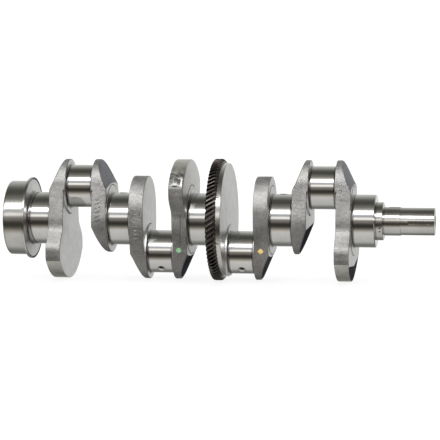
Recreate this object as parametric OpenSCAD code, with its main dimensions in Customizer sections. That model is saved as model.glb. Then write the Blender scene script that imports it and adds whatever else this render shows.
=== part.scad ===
// Four-throw, five-bearing forged crankshaft with a helical balancer ring gear on its middle web.
// The shaft lies along X: the flywheel flange's rear face is at X = 0 and the nose points along +X.
// Z is the throw plane: crankpins 1 and 4 stand up, crankpins 2 and 3 hang down.

/* [Crank layout] */
// Distance between neighbouring cylinder centres
cylinder_pitch = 132.8; // [132:0.1:134]
// Piston stroke, twice the throw of a crankpin
stroke = 106.7; // [104:0.1:110]
// From the flange's rear face to the middle of the first main journal
first_main_x = 56.8; // [56:0.1:58]

/* [Journals] */
// Diameter of the main journals
main_d = 85.65; // [84:0.05:87]
// Gap between the webs on the two sides of a main journal
main_gap = 38.1; // [37:0.1:39]
// Diameter of the crankpins
pin_d = 69.84; // [68:0.05:71]
// Gap between the webs on the two sides of a crankpin
pin_gap = 46.9; // [46:0.1:48]
// Radius of the rolled fillet at each end of a journal
journal_fillet = 3.5; // [2:0.1:4]

/* [Webs] */
// Radius of the web's outline around a crankpin
pin_end_r = 44.5; // [43:0.1:46]
// Radius of the web's outline around a main journal
main_end_r = 55; // [53:0.1:56]
// Height of the turned shoulder beside a crankpin
pin_shoulder = 2.1; // [1:0.1:3]
// Height of the turned shoulder beside a main journal
main_shoulder = 0.6; // [0.3:0.1:1.5]
// Rise of the small counterweight above the main journal's end of the web
small_weight_rise = 15.7; // [10:0.1:20]
// Distance from the shaft's axis at which the bevels at the crankpin ends start
bevel_start = 51; // [50:0.5:56]
// Distance from the shaft's axis at which the bevels at the main ends of webs 2 and 7 start
low_bevel_start = 9; // [4:0.5:12]
// Thickness that a bevel leaves at the tip of a web
bevel_tip = 6.5; // [5:0.5:10]
// Depth of the hollow along the middle of a bevel
bevel_hollow = 1.5; // [0.5:0.1:2]

/* [Large counterweights] */
// Radius of the turned rim
weight_r = 98; // [96:0.5:99]
// Half of the width across the cheeks
weight_half = 79; // [76:0.5:81]
// Half of the width of the middle counterweight
middle_weight_half = 77; // [75:0.5:79]
// Radius of the corner between rim and cheek
weight_corner_r = 12; // [8:0.5:16]
// Radius of the shoulder under the cheek
weight_knee_r = 19; // [14:0.5:22]
// Radius of the hollow at the waist
weight_waist_r = 20; // [12:0.5:24]

/* [Balancer ring gear] */
// Number of teeth
gear_teeth = 78; // [76:1:80]
// Radius over the tooth tips
gear_tip_r = 99; // [98:0.1:100]
// Depth of a tooth
gear_tooth_h = 4.7; // [4:0.1:5]
// Width of the gear along the shaft
gear_w = 15.5; // [14:0.1:16]
// Helix angle of the teeth, in degrees, right-handed
gear_helix = 33; // [30:0.5:35]
// Radius of the seat that the gear is shrunk on to
gear_seat_r = 86; // [84:0.5:88]
// Radius of the disc beside the gear
disc_r = 92.5; // [91:0.1:93.5]

/* [Flywheel end] */
// Diameter of the rear seal land
seal_d = 122.2; // [120:0.1:124]
// Length of the seal land
seal_len = 32.6; // [31:0.1:33]
// Radius of the oil thrower collar
thrower_r = 67.1; // [65:0.1:69]
// Thickness of the oil thrower collar
thrower_w = 4; // [3:0.1:5]
// Diameter of the circle of flywheel bolts
bolt_circle_d = 88.9; // [84:0.1:92]
// Number of flywheel bolts
bolt_count = 6; // [4:1:8]
// Diameter of the tapped flywheel bolt holes
bolt_hole_d = 11.5; // [10:0.1:13]
// Diameter of the pilot bore
pilot_d = 40; // [35:0.5:47]

/* [Nose] */
// Length of the front main journal
front_main_len = 36.4; // [35:0.1:37]
// Radius of the collar in front of the last main journal
collar_r = 30.9; // [29:0.1:33]
// Diameter of the timing gear seat
gear_fit_d = 46.23; // [45:0.01:48]
// Diameter of the pulley seat
pulley_fit_d = 44.46; // [42:0.01:45]
// Distance from the rear face to the timing gear seat
gear_fit_x = 619.4; // [619:0.1:621]
// Distance from the rear face to the pulley seat
pulley_fit_x = 645.4; // [644:0.1:647]
// Overall length
length = 699.6; // [695:0.1:705]
// Width of both key slots
key_w = 6.35; // [6:0.05:8]

/* [Hidden] */
$fn = 96;

throw = stroke / 2;
main_r = main_d / 2;
pin_r = pin_d / 2;
web_t = (cylinder_pitch - main_gap - pin_gap) / 2;
pin_len = pin_gap - 2 * pin_shoulder;
main_len = main_gap - 2 * main_shoulder;

// Every second throw is turned by half a turn: +1 is up, -1 is down.
throw_side = [1, -1, -1, 1];
thrower_x = seal_len + 0.3;
main_1_x = thrower_x + thrower_w;
main_5_end_x = main_x(5) - main_len / 2 + front_main_len;
gear_x = main_x(3) + main_gap / 2 + 0.5;
disc_x = gear_x + gear_w;

// Oil drillings: bore, mouth, and the turn of a crankpin's mouth away from its throw direction
oil_r = 3.2;
oil_mouth_r = 6.6;
oil_angle = 43;

// Chamfer along the rim of the middle counterweight
rim_chamfer = 2.5;
// Overrun of a cutting shape past the face that it cuts
cut = 1;

function main_x(k) = first_main_x + (k - 1) * cylinder_pitch;
function pin_x(k) = first_main_x + (k - 0.5) * cylinder_pitch;
function pin_of_web(k) = ceil(k / 2);
function web_side(k) = throw_side[pin_of_web(k) - 1];
// An odd web has its crankpin on its +X face, an even web on its -X face.
function web_x(k) = k % 2 == 1
  ? pin_x(pin_of_web(k)) - pin_gap / 2 - web_t
  : pin_x(pin_of_web(k)) + pin_gap / 2;

// Lays an outline drawn in Y and Z on a plane across the shaft and gives it a thickness along X.
module across(x, t) {
  translate([x, 0, 0])
    rotate([90, 0, 90])
      linear_extrude(height = t)
        children();
}

// Turns a profile drawn with radius along x and shaft distance along y about the shaft's axis.
module turned(x, z = 0) {
  translate([x, 0, z])
    rotate([0, 90, 0])
      rotate_extrude()
        children();
}

// Profile of a ground journal with a rolled fillet that flares out to the shoulder at its ends.
module journal_profile(r, len, fillet_start = true, fillet_end = true) {
  low = fillet_start ? journal_fillet : 0;
  high = fillet_end ? journal_fillet : 0;
  difference() {
    square([r + journal_fillet, len]);
    translate([r, low]) square([journal_fillet + cut, len - low - high + (fillet_end ? 0 : cut)]);
    if (fillet_start) translate([r + journal_fillet, journal_fillet]) circle(r = journal_fillet);
    if (fillet_end) translate([r + journal_fillet, len - journal_fillet]) circle(r = journal_fillet);
  }
}

// Profile of a plain turned land with a chamfer at each end.
module land_profile(r, len, chamfer_start, chamfer_end) {
  polygon([
    [0, 0], [r - chamfer_start, 0], [r, chamfer_start],
    [r, len - chamfer_end], [r - chamfer_end, len], [0, len]
  ]);
}

// Straight oil drilling of throw k: from the far side of its main journal, through the web,
// to the crankpin's surface, with a countersunk mouth at both ends.
module oil_drilling(k) {
  side = throw_side[k - 1];
  from_x = main_x(k <= 2 ? k : k + 1);
  start = [from_x, 0, -side * main_r];
  finish = [
    pin_x(k), side * pin_r * sin(oil_angle), side * (throw + pin_r * cos(oil_angle))
  ];
  path = finish - start;
  yaw = atan2(path.y, path.x);
  lean = acos(path.z / norm(path));
  translate(start)
    rotate([0, lean, yaw])
      translate([0, 0, -oil_mouth_r])
        cylinder(r = oil_r, h = norm(path) + 2 * oil_mouth_r);
  translate(start)
    rotate([side > 0 ? 0 : 180, 0, 0])
      translate([0, 0, -cut])
        cylinder(r1 = oil_mouth_r + cut, r2 = oil_r, h = oil_mouth_r - oil_r + cut);
  translate([pin_x(k), 0, side * throw])
    rotate([side > 0 ? -oil_angle : 180 - oil_angle, 0, 0])
      translate([0, 0, pin_r - (oil_mouth_r - oil_r)])
        cylinder(r1 = oil_r, r2 = oil_mouth_r + cut, h = oil_mouth_r - oil_r + cut);
}

// Crankpin end and main end joined by their common tangents, with the throw up.
module arm_outline() {
  lean = asin((main_end_r - pin_end_r) / throw);
  low = main_end_r * [cos(lean), sin(lean)];
  high = pin_end_r * [cos(lean), sin(lean)] + [0, throw];
  circle(r = main_end_r);
  translate([0, throw]) circle(r = pin_end_r);
  polygon([low, high, [-high.x, high.y], [-low.x, low.y]]);
}

// Small counterweight: the main end drawn out away from the throw.
module small_weight_outline() {
  translate([0, -small_weight_rise]) circle(r = main_end_r);
  translate([-main_end_r, -small_weight_rise]) square([2 * main_end_r, small_weight_rise]);
}

// One side of the large counterweight, on +Y: rim, rounded corner, upright cheek, knee and waist.
module large_weight_half(half) {
  corner_reach = weight_r - weight_corner_r + 0.02;
  corner_y = half - weight_corner_r;
  corner = [corner_y, -sqrt(pow(corner_reach, 2) - pow(corner_y, 2))];
  rim_point = corner * weight_r / norm(corner);
  knee = [half - weight_knee_r, corner.y + weight_corner_r - 3];
  lean = 42;
  knee_point = knee + weight_knee_r * [cos(lean), sin(lean)];
  waist_y = knee_point.y + (knee_point.x - main_end_r) / tan(lean);
  waist_run = weight_waist_r * tan(lean / 2);
  slope_point = [main_end_r + waist_run * sin(lean), waist_y - waist_run * cos(lean)];
  intersection() {
    circle(r = weight_r);
    polygon([
      [0, 0], [main_end_r, 0], [main_end_r, waist_y], knee_point, knee, [half, knee.y],
      [half, corner.y], corner, rim_point, 2 * rim_point, [0, -2 * weight_r]
    ]);
  }
  translate(corner) circle(r = weight_corner_r);
  translate(knee) circle(r = weight_knee_r);
  difference() {
    polygon([
      [main_end_r - cut, waist_y + waist_run], [main_end_r, waist_y + waist_run],
      slope_point, [main_end_r - cut, slope_point.y]
    ]);
    translate([main_end_r + weight_waist_r, waist_y + waist_run]) circle(r = weight_waist_r);
  }
}

module large_weight_outline(half) {
  large_weight_half(half);
  mirror([1, 0]) large_weight_half(half);
}

// Hollow wedge that a forged bevel takes off a web face: from start outwards, growing to depth at tip.
// dir is +1 or -1 along Z, face is the X of the web's face and inward the way into the web.
module bevel_cut(face, inward, dir, start, tip, depth, hollow = bevel_hollow) {
  slope = depth / (tip - start);
  reach = tip + 4;
  middle = (start + tip) / 2;
  back = 3;
  rotate([90, 0, 0])
    linear_extrude(height = 3 * weight_r, center = true)
      polygon([
        [face, dir * start],
        [face + inward * (depth / 2 + hollow), dir * middle],
        [face + inward * slope * (reach - start), dir * reach],
        [face - inward * back, dir * reach],
        [face - inward * back, dir * (start - back / slope)]
      ]);
}

// Web k with its outline, turned shoulders and bevels. weight: "none", "small", "large" or "disc".
module web(k, weight, half = weight_half) {
  x = web_x(k);
  side = web_side(k);
  pin_face = k % 2 == 1 ? x + web_t : x;
  main_face = k % 2 == 1 ? x : x + web_t;
  to_main = k % 2 == 1 ? 1 : -1;
  turn = side > 0 ? 0 : 180;
  difference() {
    union() {
      rotate([turn, 0, 0])
        across(x, web_t) {
          arm_outline();
          if (weight == "small") small_weight_outline();
          if (weight == "large") large_weight_outline(half);
        }
      translate([0, 0, side * throw])
        across(pin_face - (k % 2 == 1 ? 0 : pin_shoulder), pin_shoulder)
          circle(r = pin_end_r);
      across(main_face - (k % 2 == 1 ? main_shoulder : 0), main_shoulder)
        circle(r = main_end_r);
    }
    bevel_cut(main_face, to_main, side, bevel_start, throw + pin_end_r, web_t - bevel_tip);
    if (weight == "none")
      bevel_cut(pin_face, -to_main, -side, low_bevel_start, main_end_r, web_t - bevel_tip, 0);
  }
}

module rear_flange() {
  bolt_depth = 24;
  pilot_depth = 22;
  color("silver")
    difference() {
      turned(0) land_profile(seal_d / 2, seal_len, 2.2, 0.8);
      turned(-cut) square([pilot_d / 2, pilot_depth + cut]);
      for (i = [0 : bolt_count - 1])
        rotate([360 / bolt_count * (i + 0.5), 0, 0])
          translate([-cut, 0, bolt_circle_d / 2])
            rotate([0, 90, 0])
              cylinder(d = bolt_hole_d, h = bolt_depth + cut);
    }
}

module oil_thrower() {
  relief_r = seal_d / 2 - 1;
  color("silver") {
    turned(seal_len) square([relief_r, thrower_x - seal_len]);
    turned(thrower_x) land_profile(thrower_r, thrower_w, 0.4, 0.4);
  }
}

module main_journal_1() {
  len = main_x(1) + main_len / 2 - main_1_x;
  color("lightgray")
    difference() {
      turned(main_1_x) journal_profile(main_r, len);
      oil_drilling(1);
    }
}

module inner_main_journal(k) {
  color("lightgray")
    difference() {
      turned(main_x(k) - main_len / 2) journal_profile(main_r, main_len);
      if (k == 2) oil_drilling(2);
      if (k == 4) oil_drilling(3);
    }
}

module main_journal_5() {
  end_chamfer = 1.2;
  color("lightgray")
    difference() {
      turned(main_x(5) - main_len / 2)
        difference() {
          journal_profile(main_r, front_main_len, fillet_end = false);
          polygon([
            [main_r - end_chamfer, front_main_len],
            [main_r, front_main_len - end_chamfer],
            [main_r + cut, front_main_len - end_chamfer],
            [main_r + cut, front_main_len + cut],
            [main_r - end_chamfer, front_main_len + cut]
          ]);
        }
      oil_drilling(4);
    }
}

module crankpin(k) {
  color("lightgray")
    difference() {
      turned(pin_x(k) - pin_len / 2, throw_side[k - 1] * throw) journal_profile(pin_r, pin_len);
      oil_drilling(k);
    }
}

module web_1() {
  color("darkgray")
    difference() {
      web(1, "large");
      oil_drilling(1);
    }
}

module web_2() {
  color("darkgray") web(2, "none");
}

module web_3() {
  color("darkgray")
    difference() {
      web(3, "small");
      oil_drilling(2);
    }
}

module web_4() {
  face = web_x(4) + web_t;
  color("darkgray")
    difference() {
      web(4, "large", middle_weight_half);
      turned(face - rim_chamfer - cut)
        polygon([
          [weight_r + cut, 0], [weight_r + cut, rim_chamfer + 2 * cut],
          [weight_r - rim_chamfer - cut, rim_chamfer + 2 * cut]
        ]);
    }
}

// The middle web is a turned disc with a seat for the ring gear and the two journals' shoulders.
module web_5() {
  x = web_x(5);
  color("darkgray") {
    turned(x - main_shoulder) square([main_end_r, main_shoulder]);
    turned(x) square([gear_seat_r, disc_x - x]);
    turned(disc_x) land_profile(disc_r, x + web_t - disc_x, 0.5, 1);
    intersection() {
      translate([0, 0, web_side(5) * throw]) across(x + web_t, pin_shoulder) circle(r = pin_end_r);
      turned(x) square([disc_r - 1, web_t + pin_shoulder]);
    }
  }
}

module web_6() {
  color("darkgray")
    difference() {
      web(6, "small");
      oil_drilling(3);
    }
}

module web_7() {
  color("darkgray") web(7, "none");
}

module web_8() {
  weight_bevel_start = 64;
  weight_bevel = 3;
  color("darkgray")
    difference() {
      web(8, "large");
      bevel_cut(web_x(8) + web_t, -1, -1, weight_bevel_start, weight_r, weight_bevel, 0);
      oil_drilling(4);
    }
}

// One tooth space, cut straight along the helix angle at the middle of the gear's width.
module tooth_space() {
  tooth_pitch = 2 * PI * gear_tip_r / gear_teeth;
  top = 0.66 * tooth_pitch;
  bottom = 0.3 * tooth_pitch;
  root = gear_tip_r - gear_tooth_h;
  flare = (top - bottom) / 2 / gear_tooth_h;
  reach = gear_w / cos(gear_helix);
  rotate([0, 0, 90 - gear_helix])
    rotate([90, 0, 0])
      linear_extrude(height = 2 * reach, center = true)
        polygon([
          [-bottom / 2, root], [bottom / 2, root],
          [top / 2 + flare * cut, gear_tip_r + cut], [-top / 2 - flare * cut, gear_tip_r + cut]
        ]);
}

module balancer_ring_gear() {
  tooth_chamfer = 1.6;
  color("dimgray")
    difference() {
      turned(gear_x)
        polygon([
          [gear_seat_r, 0], [gear_tip_r - tooth_chamfer, 0], [gear_tip_r, tooth_chamfer],
          [gear_tip_r, gear_w - 2 * tooth_chamfer], [gear_tip_r - 2 * tooth_chamfer, gear_w],
          [gear_seat_r, gear_w]
        ]);
      for (i = [0 : gear_teeth - 1])
        rotate([360 / gear_teeth * i, 0, 0])
          translate([gear_x + gear_w / 2, 0, 0])
            tooth_space();
    }
}

module front_collar() {
  collar_w = 11.5;
  cone_w = gear_fit_x - main_5_end_x - collar_w;
  color("silver")
    turned(main_5_end_x)
      polygon([
        [0, 0], [collar_r - 0.5, 0], [collar_r, 0.5], [collar_r, collar_w - 1],
        [collar_r - 1, collar_w], [gear_fit_d / 2 + 1, collar_w + cone_w], [0, collar_w + cone_w]
      ]);
}

// The slot for a half-round key is cut by a disc whose axis lies across the shaft.
module timing_gear_seat() {
  half_key_r = 11.5;
  half_key_x = pulley_fit_x - 10.5;
  key_depth = 4;
  // The turned surface's seam lies well away from the key slot.
  seam_angle = 37;
  color("silver")
    difference() {
      rotate([seam_angle, 0, 0])
        turned(gear_fit_x) land_profile(gear_fit_d / 2, pulley_fit_x - gear_fit_x, 0.01, 0.8);
      translate([half_key_x, 0, gear_fit_d / 2 - key_depth + half_key_r])
        rotate([90, 0, 0])
          cylinder(r = half_key_r, h = key_w, center = true);
    }
}

module pulley_seat() {
  len = length - pulley_fit_x;
  key_depth = 3.4;
  key_len = 42;
  bolt_r = 7.25;
  bolt_depth = 40;
  bolt_chamfer = 2;
  color("silver")
    difference() {
      turned(pulley_fit_x) land_profile(pulley_fit_d / 2, len, 0.01, 1.2);
      translate([length - key_len, -pulley_fit_d / 2 - cut, -key_w / 2])
        cube([key_len + cut, key_depth + cut, key_w]);
      turned(length - bolt_depth) square([bolt_r, bolt_depth + cut]);
      turned(length - bolt_chamfer)
        polygon([[0, 0], [bolt_r, 0], [bolt_r + bolt_chamfer + cut, bolt_chamfer + cut], [0, bolt_chamfer + cut]]);
    }
}

rear_flange();
oil_thrower();
main_journal_1();
inner_main_journal(2);  // main_journal_2
inner_main_journal(3);  // main_journal_3
inner_main_journal(4);  // main_journal_4
main_journal_5();
crankpin(1);  // crankpin_1
crankpin(2);  // crankpin_2
crankpin(3);  // crankpin_3
crankpin(4);  // crankpin_4
web_1();
web_2();
web_3();
web_4();
web_5();
web_6();
web_7();
web_8();
balancer_ring_gear();
front_collar();
timing_gear_seat();
pulley_seat();
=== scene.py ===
import math

import bmesh
import bpy
from mathutils import Matrix, Vector, noise
from mathutils.geometry import delaunay_2d_cdt
from mathutils.kdtree import KDTree


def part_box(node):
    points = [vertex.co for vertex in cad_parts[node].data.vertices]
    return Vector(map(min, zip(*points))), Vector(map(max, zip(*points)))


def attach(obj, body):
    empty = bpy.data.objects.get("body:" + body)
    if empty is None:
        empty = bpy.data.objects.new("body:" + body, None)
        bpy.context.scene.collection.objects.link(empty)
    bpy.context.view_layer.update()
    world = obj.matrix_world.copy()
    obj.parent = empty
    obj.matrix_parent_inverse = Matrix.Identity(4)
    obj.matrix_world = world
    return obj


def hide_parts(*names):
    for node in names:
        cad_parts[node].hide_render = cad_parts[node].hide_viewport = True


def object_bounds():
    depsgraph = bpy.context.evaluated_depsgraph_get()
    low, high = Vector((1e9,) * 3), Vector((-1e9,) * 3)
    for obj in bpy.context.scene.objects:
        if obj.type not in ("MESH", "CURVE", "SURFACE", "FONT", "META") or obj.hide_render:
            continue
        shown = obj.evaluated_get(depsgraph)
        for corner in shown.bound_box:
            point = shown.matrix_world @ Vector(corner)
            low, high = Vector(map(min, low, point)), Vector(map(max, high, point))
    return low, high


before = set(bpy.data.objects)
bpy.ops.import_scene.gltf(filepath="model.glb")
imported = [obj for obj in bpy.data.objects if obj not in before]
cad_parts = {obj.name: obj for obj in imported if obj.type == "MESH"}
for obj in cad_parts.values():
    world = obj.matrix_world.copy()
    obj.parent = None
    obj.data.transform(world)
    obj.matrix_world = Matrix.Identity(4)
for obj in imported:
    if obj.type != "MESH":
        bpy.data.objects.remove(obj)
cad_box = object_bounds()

# Four-throw forged crankshaft. The shaft lies along X, crankpins 1 and 4 stand up along Z.
# Shapes are worked out in millimetres and become metres when a mesh is made.
MM = 0.001

MAIN_R = 42.825           # ground main journals
PIN_R = 34.92             # ground crankpins
THROW = 53.35             # half the stroke
FILLET = 3.5              # rolled fillet at a journal's ends
PIN_END_R = 44.5          # web around a crankpin
MAIN_END_R = 55.0         # web around a main journal
PIN_SHOULDER = 2.1        # turned shoulder beside a crankpin
MAIN_SHOULDER = 0.6       # turned shoulder beside a main journal
WEB_TIP = PIN_END_R + THROW
WEIGHT_R = 98.0           # turned rim of the large counterweights
OIL_R = 3.2               # oil drillings
OIL_MOUTH_R = 6.6         # countersunk mouth of a drilling
OIL_ANGLE = math.radians(43)  # from the throw to a drilling's mouth on the crankpin
KEY_W = 6.35              # both keys
AROUND = 256              # points around a turned piece
THROW_SIDE = {1: 1, 2: -1, 3: -1, 4: 1}     # 1 for a throw that stands up, -1 for one that hangs down


# ---------------------------------------------------------------- colours and materials

def linear(hex_colour):
    """An sRGB hex value as a linear colour."""
    out = []
    for i in (1, 3, 5):
        v = int(hex_colour[i:i + 2], 16) / 255
        out.append(v / 12.92 if v <= 0.04045 else ((v + 0.055) / 1.055) ** 2.4)
    return (*out, 1.0)


def put(tree, kind, inputs=None, **settings):
    """Adds a node with its settings; inputs maps a socket to a value or to the output that feeds it."""
    node = tree.nodes.new(kind)
    for key, value in settings.items():
        setattr(node, key, value)
    for key, value in (inputs or {}).items():
        if isinstance(value, bpy.types.NodeSocket):
            tree.links.new(value, node.inputs[key])
        else:
            node.inputs[key].default_value = value
    return node


def new_material(name, metallic=1.0):
    """An empty material: its tree, its shader and the object-space point that its patterns read."""
    mat = bpy.data.materials.new(name)
    mat.use_nodes = True
    tree = mat.node_tree
    tree.nodes.clear()
    shader = put(tree, "ShaderNodeBsdfPrincipled", {"Metallic": metallic})
    put(tree, "ShaderNodeOutputMaterial", {"Surface": shader.outputs["BSDF"]})
    point = put(tree, "ShaderNodeTexCoord").outputs["Object"]
    return mat, tree, shader, point


def pattern(tree, point, size_mm, detail=3.0, rough=0.6, stretch=(1, 1, 1)):
    """Noise whose lumps are about size_mm across; a stretch below 1 draws them out into lines."""
    scaled = put(tree, "ShaderNodeVectorMath", {0: point, 1: stretch}, operation="MULTIPLY")
    return put(tree, "ShaderNodeTexNoise", {
        "Vector": scaled.outputs[0], "Scale": 0.5 / (size_mm * MM), "Detail": detail, "Roughness": rough,
    }).outputs["Fac"]


def spread(tree, fac, to_low, to_high, low=0.3, high=0.7):
    """Maps fac on to a new range; a noise keeps mostly between 0.3 and 0.7."""
    return put(tree, "ShaderNodeMapRange", {
        "Value": fac, "From Min": low, "From Max": high, "To Min": to_low, "To Max": to_high,
    }).outputs[0]


def tint(tree, fac, dark, light, low=0.3, high=0.7):
    """Blends two hex colours as fac goes from low to high."""
    share = spread(tree, fac, 0.0, 1.0, low, high)
    # The mix node's colour sockets share their names with its other sockets, so they go by number.
    return put(tree, "ShaderNodeMix", {"Factor": share, 6: linear(dark), 7: linear(light)},
               data_type="RGBA").outputs[2]


def bump(tree, height, mm, strength=1.0, under=None):
    inputs = {"Height": height, "Distance": mm * MM, "Strength": strength}
    if under is not None:
        inputs["Normal"] = under
    return put(tree, "ShaderNodeBump", inputs).outputs["Normal"]


def surface(tree, shader, colour, rough, normal):
    """Feeds a shader its colour, its roughness and its bumped normal."""
    for socket, output in (("Base Color", colour), ("Roughness", rough), ("Normal", normal)):
        tree.links.new(output, shader.inputs[socket])


def rings(tree, point, spacing_mm):
    """Fine rings around the shaft's axis: the marks of facing in a lathe or mill."""
    flat = put(tree, "ShaderNodeVectorMath", {0: point, 1: (0, 1, 1)}, operation="MULTIPLY")
    radius = put(tree, "ShaderNodeVectorMath", {0: flat.outputs[0]}, operation="LENGTH").outputs["Value"]
    line = put(tree, "ShaderNodeCombineXYZ", {"X": radius})
    return put(tree, "ShaderNodeTexNoise", {
        "Vector": line.outputs[0], "Scale": 0.5 / (spacing_mm * MM), "Detail": 2.0, "Roughness": 0.6,
    }).outputs["Fac"]


def ground_journal_steel():
    # Alloy steel, hardened, ground and polished: a mirror with hair-fine marks around the journal,
    # so reflections stay crisp up and down and soften a little along the shaft.
    mat, tree, shader, point = new_material("ground_journal_steel")
    lines = pattern(tree, point, 0.7, 4.0, 0.6, (1, 0.03, 0.03))
    stain = pattern(tree, point, 14)
    surface(tree, shader, tint(tree, stain, "#cfcfcd", "#d9d9d7"), spread(tree, lines, 0.06, 0.12),
            bump(tree, lines, 0.004))
    return mat


def rolled_fillet_steel():
    # The corners at a journal's ends, pressed smooth by a roller: a softer mirror whose colour is painted
    # darker, as shade in the corners.
    mat, tree, shader, point = new_material("rolled_fillet_steel")
    film = pattern(tree, point, 6)
    lines = pattern(tree, point, 0.9, 4.0, 0.7, (1, 0.02, 0.02))
    surface(tree, shader, tint(tree, film, "#8b8987", "#a3a19e"), spread(tree, film, 0.1, 0.18),
            bump(tree, lines, 0.006))
    return mat


def turned_steel():
    # The same steel, finish-turned: slightly wider tool marks around the shaft and a softer mirror.
    mat, tree, shader, point = new_material("turned_steel")
    lines = pattern(tree, point, 0.9, 4.0, 0.7, (1, 0.02, 0.02))
    stain = pattern(tree, point, 18)
    surface(tree, shader, tint(tree, stain, "#c6c5c1", "#d6d5d2"), spread(tree, lines, 0.11, 0.2),
            bump(tree, lines, 0.008))
    return mat


def milled_face_steel():
    # The webs' faces, cut by a facing cutter: even light grey with faint arcs about 2 mm apart,
    # drawn coarser than the real feed so that they show.
    mat, tree, shader, point = new_material("milled_face_steel")
    arcs = rings(tree, point, 1.7)
    both = put(tree, "ShaderNodeMath", {0: arcs, 1: pattern(tree, point, 9)}, operation="ADD").outputs[0]
    surface(tree, shader, tint(tree, both, "#c6c6c6", "#dcdcdb", 0.75, 1.25), spread(tree, arcs, 0.3, 0.4),
            bump(tree, arcs, 0.03))
    return mat


def blasted_forging_steel(name="blasted_forging_steel", dark="#868584", light="#a9a8a6", rough=0.58,
                          metallic=1.0):
    # Hammer-forged steel, shot blasted: dull mid grey with a grain of small pits. The real grain is
    # under 1 mm; it is drawn at 1.5 mm and 3 mm so that it shows.
    mat, tree, shader, point = new_material(name, metallic)
    grain = pattern(tree, point, 1.5, 4.0, 0.7)
    pits = pattern(tree, point, 3.2, 2.0, 0.5)
    cloud = pattern(tree, point, 16)
    both = put(tree, "ShaderNodeMath", {0: grain, 1: cloud}, operation="ADD").outputs[0]
    surface(tree, shader, tint(tree, both, dark, light, 0.8, 1.2),
            spread(tree, cloud, rough - 0.05, rough + 0.06),
            bump(tree, grain, 0.3, 1.0, bump(tree, pits, 0.4, 0.9)))
    return mat


def forge_scale(name, dark, light, gloss):
    # Die-forged bevels that nothing has cut: thin blue-grey iron oxide, a dull non-metal. A darker copy of it
    # is painted shade on bevels that face down, and a painted reflection at the foot of the last
    # counterweight.
    mat = blasted_forging_steel(name, dark, light, 0.5, 0.0)
    mat.node_tree.nodes["Principled BSDF"].inputs["Specular IOR Level"].default_value = gloss
    return mat


def turned_rim_steel():
    # Outer rims of the counterweights, turned in one cut: fine lines around and a slightly olive oil film.
    mat, tree, shader, point = new_material("turned_rim_steel")
    lines = pattern(tree, point, 0.9, 4.0, 0.7, (1, 0.03, 0.03))
    stain = pattern(tree, point, 7, 3.0, 0.65)
    surface(tree, shader, tint(tree, stain, "#bbbab2", "#d6d5cd"), spread(tree, stain, 0.3, 0.42),
            bump(tree, lines, 0.02))
    return mat


def blacked_gear_steel():
    # Hobbed, hardened and chemically blacked teeth: near black with a brown cast and an oily sheen.
    mat, tree, shader, point = new_material("blacked_gear_steel")
    cloud = pattern(tree, point, 5)
    surface(tree, shader, tint(tree, cloud, "#4c4846", "#706a67"), spread(tree, cloud, 0.22, 0.34),
            bump(tree, pattern(tree, point, 1.2, 3.0, 0.55), 0.05))
    return mat


def near_black_painted_shade():
    # Turned corners, grooves, drilled walls, slots and stamp marks: a near black film of painted shade, a
    # dull non-metal.
    mat, tree, shader, point = new_material("near_black_painted_shade", 0.0)
    cloud = pattern(tree, point, 3, 2.0, 0.5)
    shader.inputs["Specular IOR Level"].default_value = 0.3
    surface(tree, shader, tint(tree, cloud, "#232221", "#3a3938"), spread(tree, cloud, 0.3, 0.45),
            bump(tree, cloud, 0.04))
    return mat


def torn_forging_steel():
    # Where the flash was sheared off the counterweight: bright torn lumps and dark hollows 3 mm across.
    mat, tree, shader, point = new_material("torn_forging_steel")
    lumps = pattern(tree, point, 3.0, 3.0, 0.65)
    surface(tree, shader, tint(tree, lumps, "#525150", "#9c9b99", 0.4, 0.62), spread(tree, lumps, 0.45, 0.3),
            bump(tree, lumps, 0.5))
    return mat


def brushed_on_paint(name, dark, light):
    # A dab of inspection paint: soft edges, slightly glossy, thicker in the middle.
    mat, tree, shader, point = new_material(name, 0.0)
    cloud = pattern(tree, point, 2.4, 2.0, 0.5)
    shader.inputs["Roughness"].default_value = 0.45
    tree.links.new(tint(tree, cloud, dark, light), shader.inputs["Base Color"])
    tree.links.new(bump(tree, cloud, 0.1), shader.inputs["Normal"])
    return mat


GROUND = ground_journal_steel()
ROLLED = rolled_fillet_steel()
TURNED = turned_steel()
FACED = milled_face_steel()
FORGED = blasted_forging_steel()
SCALE = forge_scale("blue_forge_scale", "#55565b", "#6c6d72", 0.15)
RIM = turned_rim_steel()
BLACKED = blacked_gear_steel()
PAINTED_SHADE = near_black_painted_shade()
# The darker copy is painted shade and painted reflection, not a different scale.
SHADED_SCALE = forge_scale("forge_scale_painted_shade", "#26262a", "#3e3e43", 0.0)
TORN = torn_forging_steel()
GREEN = brushed_on_paint("green_inspection_paint", "#7bb07e", "#94c696")
YELLOW = brushed_on_paint("yellow_inspection_paint", "#dcb85a", "#efd27e")


# ---------------------------------------------------------------- mesh helpers

def span(node):
    """A CAD node's lowest and highest corners in millimetres."""
    low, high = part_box(node)
    return [v / MM for v in low], [v / MM for v in high]


def make_object(name, verts, faces, materials, indices=None, sharp=35):
    """A mesh object at the origin from points in millimetres, closed and with its faces outwards."""
    mesh = bpy.data.meshes.new(name)
    mesh.from_pydata([(x * MM, y * MM, z * MM) for x, y, z in verts], [], faces)
    for mat in materials:
        mesh.materials.append(mat)
    if indices:
        mesh.polygons.foreach_set("material_index", indices)
    obj = bpy.data.objects.new(name, mesh)
    bpy.context.scene.collection.objects.link(obj)
    tidy(obj, sharp)
    return obj


def tidy(obj, sharp=35):
    """Merges doubles, turns the faces outwards and shades smooth up to the sharp angle."""
    bm = bmesh.new()
    bm.from_mesh(obj.data)
    bmesh.ops.remove_doubles(bm, verts=bm.verts, dist=1e-6)
    bmesh.ops.dissolve_degenerate(bm, edges=bm.edges, dist=1e-7)
    bmesh.ops.recalc_face_normals(bm, faces=bm.faces)
    bm.to_mesh(obj.data)
    bm.free()
    obj.data.shade_smooth()
    obj.data.set_sharp_from_angle(angle=math.radians(sharp))


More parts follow.
